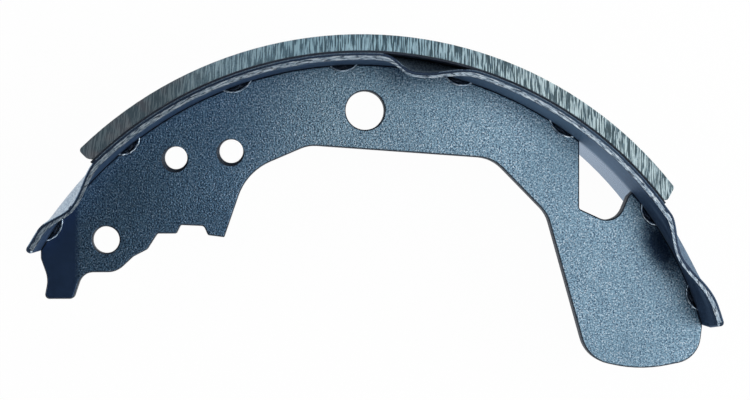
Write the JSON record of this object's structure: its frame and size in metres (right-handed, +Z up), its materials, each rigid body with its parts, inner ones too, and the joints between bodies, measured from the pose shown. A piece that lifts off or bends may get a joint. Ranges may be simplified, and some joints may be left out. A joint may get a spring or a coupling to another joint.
{
  "type": "brake shoe",
  "caption": "Curved drum brake shoe: a rolled steel table on a stamped web, with pressed rest pads and a friction lining bonded round its outer face.",
  "frame": {"origin": "on the surface the shoe lies on, below the middle of its footprint; the shoe lies on one side edge of its table", "axes": "+X from the toe end (narrow foot) to the heel end (broad rounded pad), +Y from the open side to the lining's crown, +Z up, along the drum's axis"},
  "size_m": [0.2006, 0.0976, 0.042],
  "materials": {
    "table": "thin dark blue-grey coat, bare bright steel on the sheared upper edge",
    "web": "thin grainy blue-grey coat on steel",
    "bond": "dark matt cement",
    "lining": "matt grey-green friction compound with pale fibres",
    "weld": "rough, dark, coated"
  },
  "bodies": {
    "root": {"table": "table", "web": "web", "bond_layer": "bond", "lining": "lining", "weld_1": "weld", "weld_2": "weld", "weld_3": "weld", "weld_4": "weld", "weld_5": "weld", "weld_6": "weld", "weld_7": "weld", "weld_8": "weld"}
  },
  "joints": []
}
